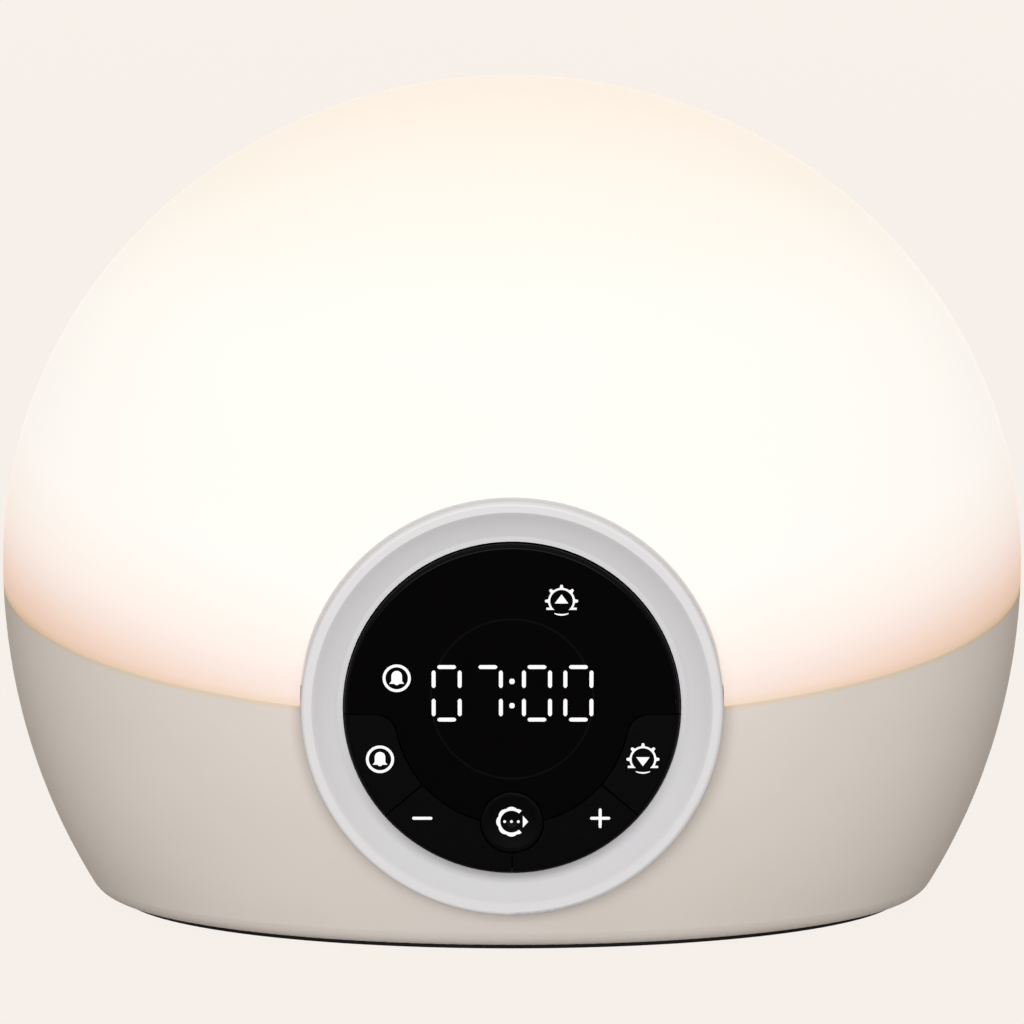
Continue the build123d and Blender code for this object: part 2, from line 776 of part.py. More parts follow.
with BuildPart() as heat_sink:
    with BuildSketch(seam.offset(sink_bottom)):
        with Locations((0, window_shift)):
            Rectangle(*sink_size)
            with GridLocations(*sink_screw_spacing, 2, 2):
                Circle(small_screw[0] + clearance_fit, mode=Mode.SUBTRACT)
    extrude(amount=sink_thickness)
    with BuildSketch(seam.offset(sink_bottom)):
        with Locations((0, window_shift)):
            with GridLocations(fin_pitch, 0, fin_count, 1):
                Rectangle(fin_thickness, sink_size[1])
    extrude(amount=-fin_height)
    with BuildSketch(seam.offset(tray_bottom)):
        with Locations((0, window_shift)):
            with GridLocations(*led_screw_spacing, 2, 2):
                Circle(small_screw[0] + screw_fit)
    extrude(amount=-sink_thickness, mode=Mode.SUBTRACT)
save(heat_sink.part, "heat_sink")

with BuildPart() as led_board:
    with BuildSketch(seam.offset(tray_bottom)):
        with Locations((0, window_shift)):
            RectangleRounded(*led_board_size, window_radius - led_board_gap)
            with GridLocations(*led_screw_spacing, 2, 2):
                Circle(small_screw[0] + clearance_fit, mode=Mode.SUBTRACT)
    extrude(amount=board_thickness)
save(led_board.part, "led_board")

with BuildPart() as leds:
    with BuildSketch(seam.offset(led_board_top)):
        with Locations((0, window_shift)):
            with GridLocations(*led_pitch, *led_count):
                Rectangle(*led_size[:2])
    extrude(amount=led_size[2])
save(leds.part, "leds")

sink_screw_plane = Plane(
    seam.offset(sink_bottom).origin, x_dir=(1, 0, 0), z_dir=(0, sin(tilt), -cos(tilt))
)
led_screw_places = corners(led_screw_spacing, (0, window_shift))
sink_screw_places = corners(sink_screw_spacing, (0, -window_shift))
save(screws(seam.offset(led_board_top), led_screw_places, led_screw), "led_screws")
save(screws(sink_screw_plane, sink_screw_places, sink_screw), "sink_screws")

# ---------------------------------------------------------------- main board

standoff_places = corners(standoff_spacing, (0, main_board_centre))

with BuildPart() as main_board:
    with BuildSketch(Plane.XY.offset(board_top)):
        with Locations((0, main_board_centre)):
            Rectangle(*main_board_size)
            tongue_reach = main_board_setback - main_board_tongue[1]
            Rectangle(main_board_tongue[0], tongue_reach, align=(Align.CENTER, Align.MIN))
        with Locations(*standoff_places):
            Circle(small_screw[0] + clearance_fit, mode=Mode.SUBTRACT)
    extrude(amount=-board_thickness)
save(main_board.part, "main_board")
save(screws(Plane.XY.offset(board_top), standoff_places, main_board_screw), "main_board_screws")


def on_board(places, outline, height):
    """Solids of one height on the main board, with an outline drawn at each place from its middle."""
    with BuildPart() as parts:
        with BuildSketch(Plane.XY.offset(board_top)):
            with Locations(*[(x, y + main_board_centre) for x, y in places]):
                outline()
        extrude(amount=height)
    return parts


capacitors = on_board(capacitor_places, lambda: Circle(capacitor_size[0]), capacitor_size[1])
save(capacitors.part, "capacitors")
inductor = on_board([inductor_place], lambda: RectangleRounded(*inductor_size[:2], 2), inductor_size[2])
save(inductor.part, "inductor")
chip = on_board([chip_place], lambda: Rectangle(*chip_size[:2]), chip_size[2])
save(chip.part, "controller_chip")
sounder = on_board([sounder_place], lambda: Circle(sounder_size[0]), sounder_size[1])
save(sounder.part, "sounder")

with BuildPart() as dc_jack:
    with BuildSketch(Plane.XZ.offset(-jack_face)):
        with Locations((0, jack_height)):
            Rectangle(jack_size[0], jack_size[2])
    extrude(amount=jack_size[1])
    with BuildSketch(Plane.XZ.offset(-jack_face)):
        with Locations((0, jack_height)):
            Circle(jack_hole_radius)
    extrude(amount=jack_hole_depth, mode=Mode.SUBTRACT)
save(dc_jack.part, "dc_jack")

with BuildPart() as dc_jack_pin:
    with BuildSketch(Plane.XZ.offset(jack_hole_depth - jack_face)):
        with Locations((0, jack_height)):
            Circle(jack_pin_radius)
    extrude(amount=-jack_pin_length)
    fillet(dc_jack_pin.faces().sort_by(Axis.Y)[-1].edges(), jack_pin_radius / 2)
save(dc_jack_pin.part, "dc_jack_pin")

# ---------------------------------------------------------------- sockets and wiring

display_socket_face = board_front + board_thickness + socket_low_height - dial_reach
lead_level = board_top + lead_socket[2] / 2
led_socket_mid = seam.from_local_coords(
    (-led_board_size[0] / 2 + led_socket[0] / 2, window_shift, led_board_top + led_socket[2] / 2)
)

with BuildPart() as wiring_sockets:
    with BuildSketch(dial(board_front + board_thickness)):
        with Locations((0, ribbon_drop)):
            Rectangle(socket_size[0], socket_size[1] - 2 * clearance_fit)
    extrude(amount=-socket_low_height)
    with BuildSketch(Plane.XY.offset(board_top)):
        with Locations((0, ribbon_socket_place)):
            Rectangle(*socket_size[:2])
    extrude(amount=socket_size[2])
    with BuildSketch(Plane.XY.offset(board_top)):
        with Locations(((lead_socket[0] - main_board_size[0]) / 2, led_socket_mid.Y)):
            Rectangle(*lead_socket[:2])
    extrude(amount=lead_socket[2])
    with BuildSketch(seam.offset(led_board_top)):
        with Locations(((led_socket[0] - led_board_size[0]) / 2, window_shift)):
            Rectangle(*led_socket[:2])
    extrude(amount=led_socket[2])
save(wiring_sockets.part, "wiring_sockets")

with BuildPart() as display_ribbon:
    with BuildSketch(Plane.YZ):
        with BuildLine():
            FilletPolyline(
                (display_socket_face, ribbon_height),
                (ribbon_socket_place, ribbon_height),
                (ribbon_socket_place, board_top + socket_size[2]),
                radius=ribbon_bend,
            )
        trace(line_width=ribbon_thickness)
    extrude(amount=ribbon_width / 2, both=True)
save(display_ribbon.part, "display_ribbon")

with BuildPart() as led_lead:
    with BuildLine(Plane.XZ.offset(-led_socket_mid.Y)):
        FilletPolyline(
            (-led_board_size[0] / 2, led_socket_mid.Z),
            (lead_drop_place, led_socket_mid.Z),
            (lead_drop_place, lead_level),
            (-main_board_size[0] / 2, lead_level),
            radius=lead_bend,
        )
    lead_start = (-led_board_size[0] / 2, led_socket_mid.Y, led_socket_mid.Z)
    with BuildSketch(Plane(lead_start, x_dir=(0, 1, 0), z_dir=(-1, 0, 0))):
        Circle(lead_radius)
    sweep()
save(led_lead.part, "led_lead")
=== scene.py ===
"""Looks of the sunrise alarm clock: an opal dome lit from inside on a putty-coloured base, with a
black dial of white digits and pictograms in a pale grey ring.

Metres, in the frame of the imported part. The dial's own coordinates, u to the right and v up from
its middle, are in millimetres.
"""

from math import cos, radians, sin

import bpy
import numpy as np
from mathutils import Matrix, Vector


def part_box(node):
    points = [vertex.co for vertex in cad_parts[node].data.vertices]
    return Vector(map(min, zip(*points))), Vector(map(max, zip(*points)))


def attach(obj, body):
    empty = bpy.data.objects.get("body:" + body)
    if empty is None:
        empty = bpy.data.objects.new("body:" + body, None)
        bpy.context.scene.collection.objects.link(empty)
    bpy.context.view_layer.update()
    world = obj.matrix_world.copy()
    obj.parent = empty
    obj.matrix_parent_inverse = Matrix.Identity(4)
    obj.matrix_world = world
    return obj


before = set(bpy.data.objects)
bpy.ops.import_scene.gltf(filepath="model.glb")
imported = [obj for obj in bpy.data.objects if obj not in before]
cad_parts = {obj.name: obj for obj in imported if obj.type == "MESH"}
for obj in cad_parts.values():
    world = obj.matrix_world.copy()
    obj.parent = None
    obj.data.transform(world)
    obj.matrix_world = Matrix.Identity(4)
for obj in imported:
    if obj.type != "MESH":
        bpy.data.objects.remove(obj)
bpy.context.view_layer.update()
MM = 0.001

# ---------------------------------------------------------------- places taken from the part

# The joint plane of the two shells: its height on the middle axis, and its tilt about X
SEAM_HEIGHT = 64.7 * MM
SEAM_TILT = radians(16)
DIAL_HEIGHT = (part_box("dial_ring")[0][2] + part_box("dial_ring")[1][2]) / 2
LENS_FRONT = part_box("display_lens")[0][1]
RIM_INNER = 37.8 * MM
DISC_RADIUS = 31.7 * MM

# Places on the dial, in its own millimetres, and the depth and reach of the round button's dish
BUTTONS = {"alarm": (-24.9, -9.5), "minus": (-16.95, -20.9), "menu": (-0.1, -21.6),
           "plus": (16.65, -20.9), "sunset": (24.7, -9.5)}
SUNRISE_ICON = (9.3, 20.9)
BELL_ICON = (-21.7, 6.1)
DIGITS_LEVEL = 3.2
DIGIT_PLACES = (-12.3, -4.55, 4.7, 12.5)
DIGIT_SIZE = (5.65, 10.85)
MENU_DISH = (0.25, 5.0)


# ---------------------------------------------------------------- camera, floor and light

CAMERA_PLACE = (0.0, -1.2796, 0.3097)
CAMERA_TARGET = (0.0, 0.0, 0.0776)
CAMERA_LENS = 232.8
CAMERA_SENSOR = 36.0

# Each lamp's name, place, width, height, watts, and whether glossy surfaces mirror it: the back one
# would draw a hard white line along the edge of the dome
LAMPS = (
    ("front_lamp", (-0.05, -1.75, 0.37), 1.2, 0.7, 25.2, True),
    ("top_lamp", (0.0, -0.25, 1.60), 1.2, 0.7, 1.5, True),
    ("back_lamp", (0.3, 2.6, 0.5), 1.4, 0.9, 20.0, False),
)
LAMP_TARGET = (0.0, 0.0, 0.07)

ROOM_COLOUR = "#F8F2EC"
SKY_COLOUR = (1.0, 0.975, 0.88, 1.0)
SKY_STRENGTH = 0.42
FLOOR_RADIUS = 4
FLOOR_BOUNCE = "#746B59"
FLOOR_FLAT_SHARE = 0.88
FLOOR_FLAT_STRENGTH = 1.10


def aim(thing, place, target):
    """Stand a camera or lamp at a place, looking at a target."""
    thing.location = place
    away = np.array(place) - np.array(target)
    across = np.hypot(away[0], away[1])
    thing.rotation_euler = (np.arctan2(across, away[2]), 0.0, np.arctan2(away[0], -away[1]))
    bpy.context.scene.collection.objects.link(thing)


def linear(code):
    """A colour written as sRGB hex, as linear red, green, blue and a full alpha."""
    parts = [int(code[i:i + 2], 16) / 255 for i in (1, 3, 5)]
    return (*[p / 12.92 if p <= 0.04045 else ((p + 0.055) / 1.055) ** 2.4 for p in parts], 1.0)


def add_node(tree, kind, inputs=None, **settings):
    """Add a shader node: settings are its properties, inputs its sockets' values or links."""
    made = tree.nodes.new("ShaderNode" + kind)
    for key, value in settings.items():
        setattr(made, key, value)
    for key, value in (inputs or {}).items():
        if isinstance(value, bpy.types.NodeSocket):
            tree.links.new(value, made.inputs[key])
        else:
            made.inputs[key].default_value = value
    return made


def calc(tree, operation, *values, **settings):
    """One operation of a Math node on values or links."""
    return add_node(tree, "Math", dict(enumerate(values)), operation=operation, **settings).outputs[0]


def seen_directly(tree):
    """1 for rays that come from the camera, a mirroring or a clear surface, and 0 for diffuse light."""
    path = add_node(tree, "LightPath").outputs
    seen = calc(tree, "MAXIMUM", path["Is Camera Ray"], path["Is Glossy Ray"])
    return calc(tree, "MAXIMUM", seen, path["Is Transmission Ray"])


def soft_sky():
    """An even sky that lights the part, in front of which the room shows in one plain colour."""
    world = bpy.data.worlds.new("soft_sky")
    bpy.context.scene.world = world
    world.use_nodes = True
    tree = world.node_tree
    tree.nodes.clear()
    sky = add_node(tree, "Background", {"Color": SKY_COLOUR, "Strength": SKY_STRENGTH})
    plain = add_node(tree, "Background", {"Color": linear(ROOM_COLOUR), "Strength": 1.0})
    both = add_node(tree, "MixShader", {0: seen_directly(tree), 1: sky.outputs[0], 2: plain.outputs[0]})
    add_node(tree, "OutputWorld", {"Surface": both.outputs[0]})


def painted_floor():
    """A round floor in matt paint: seen directly it is mostly its own flat colour, with about an
    eighth of the real shading, and it bounces light on to the part as a darker paint would."""
    paint = bpy.data.materials.new("matt_floor_paint")
    paint.use_nodes = True
    tree = paint.node_tree
    tree.nodes.clear()
    share = calc(tree, "MULTIPLY", seen_directly(tree), FLOOR_FLAT_SHARE)
    matt = add_node(tree, "BsdfDiffuse", {"Color": linear(FLOOR_BOUNCE)})
    flat = add_node(tree, "Emission", {"Color": linear(ROOM_COLOUR), "Strength": FLOOR_FLAT_STRENGTH})
    both = add_node(tree, "MixShader", {0: share, 1: matt.outputs[0], 2: flat.outputs[0]})
    add_node(tree, "OutputMaterial", {"Surface": both.outputs[0]})
    angles = np.linspace(0, 2 * np.pi, 96, endpoint=False)
    rim = np.stack([FLOOR_RADIUS * np.cos(angles), FLOOR_RADIUS * np.sin(angles), 0 * angles], axis=1)
    mesh = bpy.data.meshes.new("floor")
    mesh.from_pydata(rim.tolist(), [], [list(range(len(rim)))])
    mesh.materials.append(paint)
    floor = bpy.data.objects.new("floor", mesh)
    bpy.context.scene.collection.objects.link(floor)


def lamps():
    """Three broad soft lamps, none of them seen by the camera."""
    for name, place, width, height, power, mirrored in LAMPS:
        data = bpy.data.lights.new(name, "AREA")
        data.shape, data.size, data.size_y, data.energy = "RECTANGLE", width, height, power
        lamp = bpy.data.objects.new(name, data)
        lamp.visible_camera = False
        lamp.visible_glossy = mirrored
        aim(lamp, place, LAMP_TARGET)


def camera():
    """A long lens 1.3 m away, ten degrees above the table."""
    data = bpy.data.cameras.new("camera")
    data.lens, data.sensor_width = CAMERA_LENS, CAMERA_SENSOR
    data.clip_start, data.clip_end = 0.1, 20.0
    made = bpy.data.objects.new("camera", data)
    aim(made, CAMERA_PLACE, CAMERA_TARGET)
    bpy.context.scene.camera = made


# ---------------------------------------------------------------- parts of materials

ABS_IOR = 1.53
POLYCARBONATE_IOR = 1.58
ACRYLIC_IOR = 1.49
BLACK = (0.0, 0.0, 0.0, 1.0)
WHITE = (1.0, 1.0, 1.0, 1.0)


def start(name):
    """A new material with its output, its shader and the Object coordinates that patterns read."""
    made = bpy.data.materials.new(name)
    made.use_nodes = True
    tree = made.node_tree
    tree.nodes.clear()
    shader = add_node(tree, "BsdfPrincipled")
    add_node(tree, "OutputMaterial", {"Surface": shader.outputs[0]})
    return made, tree, shader, add_node(tree, "TexCoord").outputs["Object"]


def link(tree, source, shader, socket):
    """Feed a socket of the shader."""
    tree.links.new(source, shader.inputs[socket])


def grain(tree, place, size, detail=2.0):
    """Noise whose lumps are about size metres across, from 0 to 1."""
    return add_node(tree, "TexNoise", {"Vector": place, "Scale": 0.5 / size, "Detail": detail}).outputs["Fac"]


def fade(tree, value, start_at, end_at, first=0.0, last=1.0, **settings):
    """Carry a value from the range between two places to the one between two results, held at both
    ends."""
    inputs = {"Value": value, 1: start_at, 2: end_at, 3: first, 4: last}
    return add_node(tree, "MapRange", inputs, **settings).outputs[0]


def spread(tree, value, low, high):
    """The middle of a noise, stretched over a range of values."""
    return fade(tree, value, 0.3, 0.7, low, high)


def blend(tree, share, first, second):
    """A colour between two, by a share from 0 to 1."""
    mix = add_node(tree, "Mix", {"Factor": share}, data_type="RGBA")
    for socket, colour in ((6, first), (7, second)):
        if isinstance(colour, bpy.types.NodeSocket):
            tree.links.new(colour, mix.inputs[socket])
        else:
            mix.inputs[socket].default_value = colour
    return mix.outputs[2]


def clouded(tree, place, light, dark, size=18 * MM):
    """A colour that drifts between two shades over some centimetres, as an uneven pigment does."""
    cloud = spread(tree, grain(tree, place, size), 0.0, 1.0)
    return blend(tree, cloud, linear(light), linear(dark))


def bump(tree, shader, height, depth):
    """Raise the surface by up to depth metres where a pattern is light."""
    made = add_node(tree, "Bump", {"Height": height, "Distance": depth, "Strength": 1.0})
    link(tree, made.outputs[0], shader, "Normal")


def gloss(shader, ior, specular):
    """How a plastic mirrors: its refractive index, and a level, at 0.5 all that the index gives."""
    shader.inputs["IOR"].default_value = ior
    shader.inputs["Specular IOR Level"].default_value = specular


def textured(tree, shader, place, size, depth, low, high, detail=3.0):
    """A fine even texture of a size and depth in metres, its roughness between low and high."""
    fine = grain(tree, place, size, detail)
    link(tree, spread(tree, fine, low, high), shader, "Roughness")
    bump(tree, shader, fine, depth)


def round_edge(tree):
    """A share from 0 on a face square to the dial to 1 on the rounded edge round it."""
    normal = add_node(tree, "SeparateXYZ", {0: add_node(tree, "TexCoord").outputs["Normal"]}).outputs["Y"]
    return fade(tree, normal, -0.99, -0.85)


def over_seam(tree, place):
    """The distance above the tilted joint plane, in metres, and less than 0 below it."""
    normal = (0.0, -sin(SEAM_TILT), cos(SEAM_TILT))
    along = add_node(tree, "VectorMath", {0: place, 1: normal}, operation="DOT_PRODUCT").outputs["Value"]
    return calc(tree, "SUBTRACT", along, SEAM_HEIGHT * cos(SEAM_TILT))


# ---------------------------------------------------------------- materials

def moulded(name, light, dark, roughness, texture, depth, specular):
    """Injection-moulded plastic or rubber: the spark-eroded mould leaves a fine even grain, texture
    mm across and depth mm deep, and the pigment is very slightly uneven over some centimetres."""
    made, tree, shader, place = start(name)
    link(tree, clouded(tree, place, light, dark), shader, "Base Color")
    textured(tree, shader, place, texture * MM, depth * MM, roughness - 0.05, roughness + 0.05)
    gloss(shader, ABS_IOR, specular)
    return made


def ring_abs():
    """Pale grey injection-moulded ABS: the mould is spark-eroded over the dish and polished round
    the rim, and the rim is coloured a paler grey than the dish. A painted shadow darkens the
    dish against the lower edge of the disc, where the disc would shade it."""
    made, tree, shader, place = start("pale_grey_abs")
    across = add_node(tree, "VectorMath", {0: place, 1: (1.0, 0.0, 1.0)}, operation="MULTIPLY").outputs[0]
    away = add_node(tree, "VectorMath", {0: across, 1: (0.0, 0.0, DIAL_HEIGHT)},
                    operation="DISTANCE").outputs["Value"]
    # The rim is polished smoother and coloured a paler grey than the dish
    rim = fade(tree, away, RIM_INNER - 0.8 * MM, RIM_INNER + 0.3 * MM, interpolation_type="SMOOTHSTEP")
    dish = clouded(tree, place, "#CFCFD3", "#CDCCD1", 14 * MM)
    height = add_node(tree, "SeparateXYZ", {0: place}).outputs["Z"]
    # How far a place lies under the dial's middle: 1 straight below it, -1 straight above
    under = calc(tree, "DIVIDE", calc(tree, "SUBTRACT", DIAL_HEIGHT, height), away)
    under = fade(tree, under, -0.25, 1.0)
    # Painted shadow: close below the disc the dish is darkened towards #A2A1A5, fading outwards
    shadow_from, shadow_to, faint_shadow = DISC_RADIUS + 0.7 * MM, DISC_RADIUS + 2.3 * MM, 0.08
    beside = fade(tree, away, shadow_from, shadow_to, 1.0, faint_shadow)
    disc_shadow = calc(tree, "MULTIPLY", calc(tree, "MULTIPLY", under, under), beside)
    dish = blend(tree, disc_shadow, dish, linear("#A2A1A5"))
    link(tree, blend(tree, rim, dish, linear("#D6D5D9")), shader, "Base Color")
    fine = grain(tree, place, 0.4 * MM, 3.0)
    polish = -0.15
    matt = calc(tree, "MULTIPLY_ADD", rim, polish, spread(tree, fine, 0.48, 0.56))
    link(tree, matt, shader, "Roughness")
    bump(tree, shader, fine, 0.004 * MM)
    gloss(shader, ABS_IOR, 0.3)
    return made


def satin_black_abs():
    """Black ABS under a satin lacquer, sprayed to match the lens: its rounded edges are painted a shade
    paler, a painted highlight."""
    made, tree, shader, place = start("satin_black_abs")
    front = clouded(tree, place, "#030203", "#020202")
    # Painted highlight: the rounded edges are coloured #0E0D0F instead of the near-black face
    link(tree, blend(tree, round_edge(tree), front, linear("#0E0D0F")), shader, "Base Color")
    textured(tree, shader, place, 0.3 * MM, 0.004 * MM, 0.30, 0.38)
    gloss(shader, ABS_IOR, 0.02)
    return made


def putty_abs():
    """Putty-coloured injection-moulded ABS with a fine spark-eroded grain: along the thin lip that holds
    the dome its colour is warmed and a faint glow added, painted light for the dome's warm light."""
    made, tree, shader, place = start("putty_abs")
    wall = clouded(tree, place, "#DED6D2", "#DBD3CD")
    above = over_seam(tree, place)
    # Painted light: just below the seam the colour warms to #DDCDB7 and a faint orange glow is added
    lip = fade(tree, above, -1.3 * MM, 0.0, interpolation_type="SMOOTHSTEP")
    link(tree, blend(tree, lip, wall, linear("#DDCDB7")), shader, "Base Color")
    thin = fade(tree, above, -0.5 * MM, 0.0)
    link(tree, blend(tree, thin, BLACK, (0.07, 0.015, 0.0, 1.0)), shader, "Emission Color")
    shader.inputs["Emission Strength"].default_value = 1.0
    textured(tree, shader, place, 0.5 * MM, 0.010 * MM, 0.50, 0.60)
    gloss(shader, ABS_IOR, 0.35)
    return made


# How the lit wall looks at distances in mm from the seam, and high on its crown. It gives that
# light itself, less ROOM_SHARE, which it reflects of the room
GLOW_STOPS = ((0, "#E0C2AA"), (2, "#EBCFBC"), (5.3, "#F2D5C5"), (9, "#F7DFD1"), (12.8, "#F9E6DE"),
              (18.5, "#FEF0E9"), (27, "#FFF7F0"), (38, "#FFFBF6"), (60, "#FFFBF5"))
GLOW_DEPTH = 80 * MM
CROWN_GLOW = "#FFF4E8"
CROWN_FROM, CROWN_TO = 115 * MM, 164 * MM
ROOM_SHARE = 0.18


def glowing(code):
    """The light that the wall itself has to give to look like a colour."""
    return (*[value - ROOM_SHARE for value in linear(code)[:3]], 1.0)


def glow_reach(tree, above, across):
    """The distance that sets the glow: from the seam, and longer the further in from both ends."""
    rise, end, pull = 1.2, 92 * MM, 0.19
    inward = calc(tree, "SUBTRACT", end, calc(tree, "ABSOLUTE", across))
    inward = calc(tree, "MAXIMUM", inward, 0.0)
    return calc(tree, "MULTIPLY_ADD", inward, pull, calc(tree, "MULTIPLY", above, rise))


def opal_polycarbonate():
    """Opal polycarbonate, blow-moulded with a satin outside: light from the board on the seam plane
    mixes in it, so it glows nearly white in front and above, and warm where the wall is far from
    the lamps, along the seam and out at both ends."""
    made, tree, shader, place = start("opal_polycarbonate")
    axes = add_node(tree, "SeparateXYZ", {0: place})
    above = over_seam(tree, place)
    reach = glow_reach(tree, above, axes.outputs["X"])
    ramp = add_node(tree, "ValToRGB", {0: calc(tree, "DIVIDE", reach, GLOW_DEPTH, use_clamp=True)})
    ramp.color_ramp.interpolation = "LINEAR"
    marks = ramp.color_ramp.elements
    while len(marks) < len(GLOW_STOPS):
        marks.new(1.0)
    for mark, (distance, code) in zip(marks, GLOW_STOPS):
        mark.position = distance * MM / GLOW_DEPTH
        mark.color = glowing(code)
    crown = fade(tree, axes.outputs["Z"], CROWN_FROM, CROWN_TO, interpolation_type="SMOOTHSTEP")
    glow = blend(tree, crown, ramp.outputs["Color"], glowing(CROWN_GLOW))
    # The foot of the wall sits in the shell's lip, which soaks up some of the blue and green
    foot = fade(tree, above, 0.1 * MM, 1.8 * MM, 1.0, 0.0)
    loss = blend(tree, foot, WHITE, (0.94, 0.93, 0.82, 1.0))
    glow = add_node(tree, "VectorMath", {0: glow, 1: loss}, operation="MULTIPLY").outputs[0]
    link(tree, glow, shader, "Emission Color")
    shader.inputs["Emission Strength"].default_value = 1.0
    cloud = spread(tree, grain(tree, place, 25 * MM), 0.0, 1.0)
    link(tree, blend(tree, cloud, (0.205, 0.203, 0.198, 1.0), (0.20, 0.197, 0.19, 1.0)), shader, "Base Color")
    textured(tree, shader, place, 0.5 * MM, 0.003 * MM, 0.45, 0.55, 2.0)
    gloss(shader, POLYCARBONATE_IOR, 0.01)
    return made


def smoked_acrylic():
    """Polished smoked acrylic, dark enough to hide what is behind it: a mirror-smooth front with a
    faint moulding ripple, and the edge of the light guide showing as a barely paler ring."""
    made, tree, shader, place = start("smoked_acrylic")
    guide_rise, guide_radius, guide_edge = 2.1 * MM, 15.3 * MM, 0.18 * MM
    middle = (0.0, LENS_FRONT, DIAL_HEIGHT + guide_rise)
    away = add_node(tree, "VectorMath", {0: place, 1: middle}, operation="DISTANCE").outputs["Value"]
    faint = calc(tree, "MULTIPLY", calc(tree, "COMPARE", away, guide_radius, guide_edge), 0.5)
    front = blend(tree, faint, linear("#030203"), linear("#121114"))
    # Painted highlight: the rounded edge round the lens is coloured a shade paler than its front
    link(tree, blend(tree, round_edge(tree), front, linear("#0F0E11")), shader, "Base Color")
    textured(tree, shader, place, 9 * MM, 0.004 * MM, 0.05, 0.09, 1.0)
    gloss(shader, ACRYLIC_IOR, 0.02)
    return made


def lit_white():
    """White light through a printed mask: light-emitting diodes behind a diffusing film, a shade
    dimmer in places, at random."""
    made, tree, shader, place = start("lit_white_film")
    film = 1.2 * MM
    link(tree, clouded(tree, place, "#FFFFFF", "#F1EFF0", film), shader, "Emission Color")
    link(tree, clouded(tree, place, "#202020", "#1A1A1A", film), shader, "Base Color")
    shader.inputs["Emission Strength"].default_value = 1.0
    shader.inputs["Roughness"].default_value = 0.4
    return made


def zinc_steel():
    """Zinc-plated cold-headed steel: bright, bluish and lightly scratched."""
    made, tree, shader, place = start("zinc_plated_steel")
    fine = grain(tree, place, 0.25 * MM, 4.0)
    link(tree, blend(tree, fine, linear("#A9ADB3"), linear("#8C9096")), shader, "Base Color")
    link(tree, spread(tree, fine, 0.22, 0.42), shader, "Roughness")
    shader.inputs["Metallic"].default_value = 1.0
    bump(tree, shader, fine, 0.004 * MM)
    return made


def extruded_aluminium():
    """Extruded aluminium, left as it comes from the die: streaks along the fins."""
    made, tree, shader, place = start("extruded_aluminium")
    drawn = add_node(tree, "Mapping", {"Vector": place, "Scale": (1.0, 0.03, 1.0)}).outputs[0]
    streaks = grain(tree, drawn, 0.3 * MM, 3.0)
    link(tree, blend(tree, streaks, linear("#C6C9CD"), linear("#A8ABB0")), shader, "Base Color")
    link(tree, spread(tree, streaks, 0.28, 0.48), shader, "Roughness")
    shader.inputs["Metallic"].default_value = 1.0
    bump(tree, shader, streaks, 0.006 * MM)
    return made


def circuit_board(name, mask, copper):
    """Glass-epoxy board under solder mask: tracks show as slightly raised paler lines 0.5 mm wide
    between square cells of some millimetres."""
    made, tree, shader, place = start(name)
    pitch, fold = 4 * MM, 0.25
    cells = add_node(tree, "TexVoronoi", {"Vector": place, "Scale": 1 / pitch}, distance="MANHATTAN",
                     feature="F1").outputs["Distance"]
    track = fade(tree, calc(tree, "PINGPONG", cells, fold), 0.17, 0.19)
    link(tree, blend(tree, track, linear(mask), linear(copper)), shader, "Base Color")
    link(tree, spread(tree, grain(tree, place, 2 * MM), 0.25, 0.38), shader, "Roughness")
    bump(tree, shader, track, 0.03 * MM)
    return made


def phosphor():
    """Silicone filled with yellow phosphor in a white reflector cup, lit."""
    made, tree, shader, place = start("yellow_phosphor")
    cloud = grain(tree, place, 0.3 * MM)
    link(tree, blend(tree, cloud, linear("#F4E27A"), linear("#E9C95A")), shader, "Base Color")
    link(tree, blend(tree, cloud, linear("#FFF1C8"), linear("#FFE3A0")), shader, "Emission Color")
    shader.inputs["Emission Strength"].default_value = 0.8
    shader.inputs["Roughness"].default_value = 0.35
    return made


# The wave texture's own pitch in metres, at a scale of 1
WAVE_PITCH = 0.314


def banded(name, light, dark, axis, pitch, roughness):
    """Round-backed bands of a pitch along one axis: the cores of a flat cable or a wound coil."""
    made, tree, shader, place = start(name)
    wave = add_node(tree, "TexWave", {"Vector": place, "Scale": WAVE_PITCH / pitch, "Distortion": 0.0},
                    bands_direction=axis).outputs["Fac"]
    # Painted shade: the grooves between the bands are coloured dark and their crests light
    link(tree, blend(tree, wave, linear(dark), linear(light)), shader, "Base Color")
    matt = spread(tree, grain(tree, place, 1 * MM), roughness - 0.05, roughness + 0.05)
    link(tree, matt, shader, "Roughness")
    bump(tree, shader, wave, 0.15 * MM)
    return made


def nickel_brass():
    """Nickel-plated turned brass: fine rings from the lathe round the pin's axis."""
    made, tree, shader, place = start("nickel_plated_brass")
    feed = 0.3 * MM
    turned = add_node(tree, "TexWave", {"Vector": place, "Scale": WAVE_PITCH / feed, "Distortion": 0.4},
                      bands_direction="Y").outputs["Fac"]
    link(tree, blend(tree, turned, linear("#D8CDB4"), linear("#BCB096")), shader, "Base Color")
    link(tree, spread(tree, turned, 0.18, 0.3), shader, "Roughness")
    shader.inputs["Metallic"].default_value = 1.0
    bump(tree, shader, turned, 0.003 * MM)
    return made


# ---------------------------------------------------------------- marks that stand on the dial

def on_dial(points, depth):
    """Dial points in millimetres, set at a place along Y in metres, as frame coordinates."""
    points = np.asarray(points, float) * MM
    return np.stack([points[:, 0], np.full(len(points), depth), points[:, 1] + DIAL_HEIGHT], axis=1)


def circle(radius, start_angle=0.0, sweep=360.0, count=64, centre=(0.0, 0.0)):
    """Points along an arc, anticlockwise from the right; a full turn leaves out its last point."""
    angles = np.radians(np.linspace(start_angle, start_angle + sweep, count, endpoint=abs(sweep) < 360))
    radius = np.broadcast_to(radius, angles.shape)
    return np.stack([centre[0] + radius * np.cos(angles), centre[1] + radius * np.sin(angles)], axis=1)


